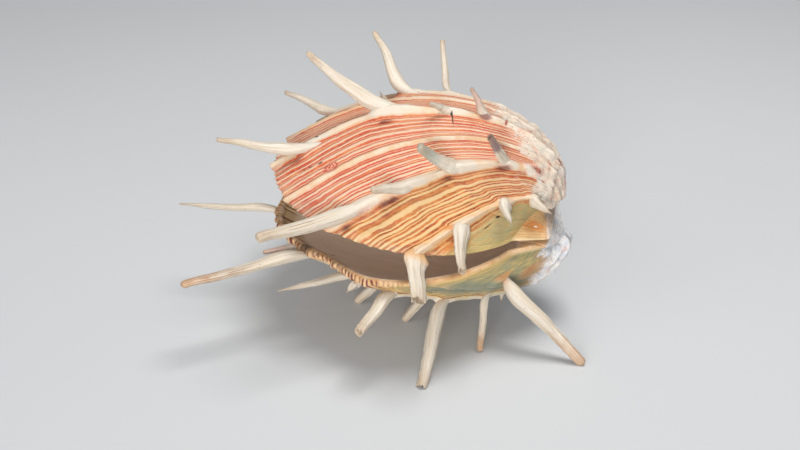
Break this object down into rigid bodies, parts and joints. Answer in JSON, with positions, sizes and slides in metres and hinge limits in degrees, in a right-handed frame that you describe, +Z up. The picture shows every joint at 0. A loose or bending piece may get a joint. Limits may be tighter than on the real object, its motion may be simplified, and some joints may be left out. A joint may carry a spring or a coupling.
{
  "type": "thorny oyster shell",
  "caption": "Gaping bivalve shell of two ribbed, cupped valves with long curved spines, lying on the tips of its lower spines.",
  "frame": {"origin": "middle of the bounding box, on the floor that the spines stand on", "axes": "+X towards the hinge and the umbones, -X towards the gaping ventral margin, +Z up"},
  "size_m": [0.1236, 0.1086, 0.0793],
  "materials": {
    "upper_shell": "satin shell, cream with red and orange ribs",
    "lower_shell": "matt shell, yellow and cream with a red-brown margin",
    "ligament": "dry and dark"
  },
  "bodies": {
    "root": {"upper_valve": "upper_shell", "lower_valve": "lower_shell", "ligament": "ligament"}
  },
  "joints": []
}
